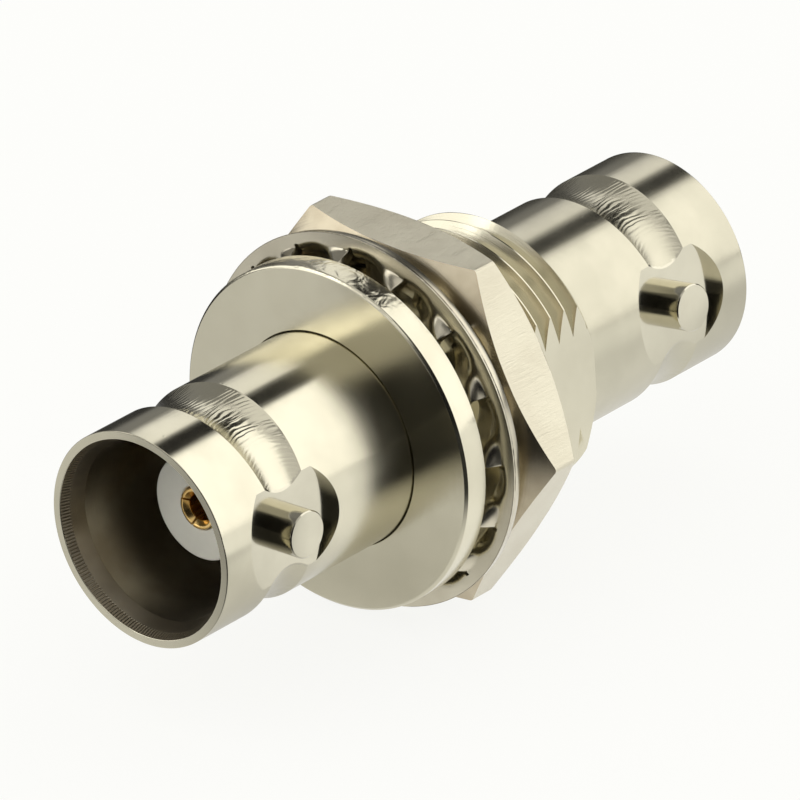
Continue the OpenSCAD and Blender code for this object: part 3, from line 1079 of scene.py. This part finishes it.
finish(front_jack, "adapter_body", "front_jack_shell", "bright_nickel",
       bright_nickel, front_bore, milled_nickel)
finish(rear_jack, "adapter_body", "bulkhead_body", "bright_nickel",
       rear_nickel_painted_shade, rear_bore, milled_nickel)
finish(body, "adapter_body", "bulkhead_body", "bright_nickel", faced_nickel)
finish(front_insulator, "adapter_body", "front_insulator", "white_insulator", white_insulator)
finish(rear_insulator, "adapter_body", "rear_insulator", "white_insulator", white_insulator)
finish(contact, "adapter_body", "centre_contact", "gold_plate", gilt)
finish(washer, "lock_washer", "lock_washer", "washer_nickel", washer_nickel)
finish(nut, "hex_nut", "hex_nut", "satin_nickel", nut_nickel, nut_face_nickel_painted_shade)


def finish_where(piece, index, chosen):
    """Gives faces, chosen by centre in millimetres and normal, another of the piece's finishes."""
    for face in piece.data.polygons:
        if chosen(face.center / MM, face.normal):
            face.material_index = index


def in_mouth(rim_y, way):
    """Chooses the faces inside a jack's mouth."""
    return lambda point, normal: (math.hypot(point.x, point.z) < mouth_r - 0.01
                                  and 0.02 < way * (point.y - rim_y) < mouth_depth + lip_t)


def in_spot(rim_y, way, turn):
    """Chooses the faces of a jack's two spots and lugs."""
    def chosen(point, normal):
        own = about_y(-turn) @ point
        beside = math.hypot(point.y - rim_y - way * lug_from_rim, own.z)
        return abs(own.x) > spot_face_r - 0.05 and beside < spot_r + 0.01
    return chosen


for piece, rim_y, way, turn in ((front_jack, front_rim_y, 1, 0),
                                (rear_jack, rear_rim_y, -1, rear_jack_turn)):
    finish_where(piece, 1, in_mouth(rim_y, way))
    finish_where(piece, 2, in_spot(rim_y, way, turn))
finish_where(nut, 1, lambda point, normal: abs(normal.y) > 0.3)

# %% [markdown]
# ## Light
# Polished metal has hardly any colour of its own. It shows the room, so the room is designed: a
# wide soft box behind on the right, a narrow one behind on the left, one low at the front left,
# and dark gaps between them that draw the barrels' edges. Each is a patch of the world, given by
# azimuth and elevation, and a pale sheet with a dark surround lies below.

# %% The world's soft boxes
ROOM = 0.2
SOFT_BOXES = {
    # name: middle azimuth, half width, low, high, edge, strength over the room's level
    "key behind right": (60, 34, -8, 62, 9, 1.48),
    "strip behind left": (127, 8, 19, 62, 4, 1.0),
    "grey wall left": (158, 28, 4, 60, 6, 0.06),
    "front left": (-140, 19, -2, 42, 8, 1.5),
    "front fill": (-107, 24, -2, 30, 10, 1.0),
    "front top": (-104, 30, 30, 66, 8, 0.4),
    "overhead": (0, 181, 66, 95, 10, 0.8),
    "right fill": (0, 24, -8, 60, 12, 0.55),
}
DARKS = {
    # name: middle azimuth, half width, low, high, edge, share of the light taken away
    "near side": (-44, 26, -60, 47, 10, 0.96),
    "low behind": (97, 17, -12, 18, 6, 0.93),
    "gap behind": (107, 9, -8, 64, 5, 0.96),
    "horizon left": (140, 22, -30, 5, 6, 0.9),
}
EVEN = (1.3, 1.29, 1.27, 1)
PAPER = (0.974, 0.974, 0.95, 1)


def soft_box_group():
    """1 inside a window of azimuth and elevation in degrees, and a soft edge to 0."""
    group, size, end = shader_group("soft box", {
        "Azimuth": 0.0, "Elevation": 0.0, "Middle": 0.0, "Half width": 20.0, "Low": 0.0,
        "High": 40.0, "Edge": 5.0}, ["Mask"])
    turn = compute(group, "SUBTRACT", size["Azimuth"], size["Middle"])
    turn = compute(group, "WRAP", turn, 180.0, -180.0)
    inside = compute(group, "SUBTRACT", size["Half width"], compute(group, "ABSOLUTE", turn))
    low = compute(group, "SUBTRACT", size["Elevation"], size["Low"])
    high = compute(group, "SUBTRACT", size["High"], size["Elevation"])
    mask = product(group, *(
        ramp(group, compute(group, "DIVIDE", distance, size["Edge"]), -0.5, 0.5)
        for distance in (inside, low, high)))
    group.links.new(mask, end["Mask"])
    return group


def mix_colour(tree, share, first, second):
    """A colour between a link, at 0, and a fixed colour, at 1."""
    node = add_node(tree, "ShaderNodeMix", {0: share, 6: first, 7: second}, data_type="RGBA")
    return node.outputs[2]


def studio_world():
    """The room that the metal shows."""
    world = bpy.data.worlds.new("studio")
    bpy.context.scene.world = world
    world.use_nodes = True
    tree = world.node_tree
    where = tree.nodes.new("ShaderNodeTexCoord")
    split = add_node(tree, "ShaderNodeSeparateXYZ", {0: where.outputs["Generated"]})
    x, y, z = split.outputs
    azimuth = compute(tree, "DEGREES", compute(tree, "ARCTAN2", y, x))
    elevation = compute(tree, "DEGREES", compute(tree, "ARCSINE", z))
    box = soft_box_group()

    def window(name, middle, half, low, high, edge):
        patch = place_group(
            tree, box, Middle=middle, Half_width=half, Low=low, High=high, Edge=edge)
        patch.label = name
        tree.links.new(azimuth, patch.inputs["Azimuth"])
        tree.links.new(elevation, patch.inputs["Elevation"])
        return patch.outputs[0]

    total = ROOM
    for name, (*place, strength) in SOFT_BOXES.items():
        total = linear(tree, window(name, *place), strength, total)
    for name, (*place, share) in DARKS.items():
        left = linear(tree, window(name, *place), -share, 1.0)
        total = product(tree, total, left)
    light = scaled(tree, (1.0, 0.99, 0.98), total)
    path = tree.nodes.new("ShaderNodeLightPath")
    even = mix_colour(tree, path.outputs["Is Diffuse Ray"], light, EVEN)
    seen = mix_colour(tree, path.outputs["Is Camera Ray"], even, PAPER)
    tree.links.new(seen, tree.nodes["Background"].inputs["Color"])
    print("world:", len(SOFT_BOXES), "soft boxes and", len(DARKS), "darks")


studio_world()

# %% The pale sheet under the part
def sheet_tone(tree):
    """What reflections see of the sheet: its tone, and how far it lies under the part's rear, where
    the tone is raised as painted light that lifts the part's shadow.
    """
    point, x, y, z = object_place(tree)
    # distance towards the near right corner, across the sheet's length
    toward = linear(tree, x, 0.68, product(tree, y, -0.73))
    near_edge = compute(tree, "MAXIMUM", ramp(tree, toward, 20.0, 8.0), ramp(tree, y, -4.0, 12.0))
    sheet = product(tree, near_edge, ramp(tree, toward, -44.0, -26.0))
    behind = product(tree, ramp(tree, y, 6.0, 45.0), ramp(tree, x, 30.0, 12.0))
    back = linear(tree, behind, -0.5, 1.0)
    left = product(tree, ramp(tree, x, -12.0, -26.0), ramp(tree, y, 0.0, 10.0))
    back = product(tree, back, linear(tree, left, -0.8, 1.0))
    under = ramp(tree, y, -5.0, 2.0)
    side = linear(tree, ramp(tree, x, -20.0, 14.0), 0.24, 0.61)
    # a third brighter under the part's rear: painted light over the part's shadow
    side = product(tree, side, linear(tree, under, 0.32, 1.0))
    return linear(tree, product(tree, sheet, back), side, 0.03), under


def floor():
    """The sheet just under the part, pale to the eye and duller in the metal."""
    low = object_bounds()[0]
    bpy.ops.mesh.primitive_plane_add(size=4)
    plane = bpy.context.object
    plane.name = "floor"
    plane.data.transform(Matrix.Translation((0, 0, low.z - 0.05 * MM)))
    plane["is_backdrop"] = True
    material, tree, surface = new_material("pale sheet")
    tree.nodes.remove(surface)
    tone, under = sheet_tone(tree)
    lit = add_node(tree, "ShaderNodeEmission", {"Color": tone})
    matt = add_node(tree, "ShaderNodeBsdfDiffuse", {0: tone})
    # the sheet glows more under the part's rear, so its diffuse shadow fades there: painted light
    glow = linear(tree, under, 0.5, 0.35)
    paper = add_node(tree, "ShaderNodeEmission", {0: (0.965, 0.965, 0.94, 1)})
    pale = add_node(tree, "ShaderNodeBsdfDiffuse", {0: (0.95, 0.95, 0.94, 1)})
    path = tree.nodes.new("ShaderNodeLightPath")

    def mix(share, first, second):
        return add_node(tree, "ShaderNodeMixShader", {
            0: share, 1: first.outputs[0], 2: second.outputs[0]})

    shadow_share = 0.08
    both = mix(path.outputs["Is Camera Ray"], mix(glow, matt, lit), mix(shadow_share, paper, pale))
    tree.links.new(both.outputs[0], tree.nodes["Material Output"].inputs[0])
    plane.data.materials.append(material)


floor()
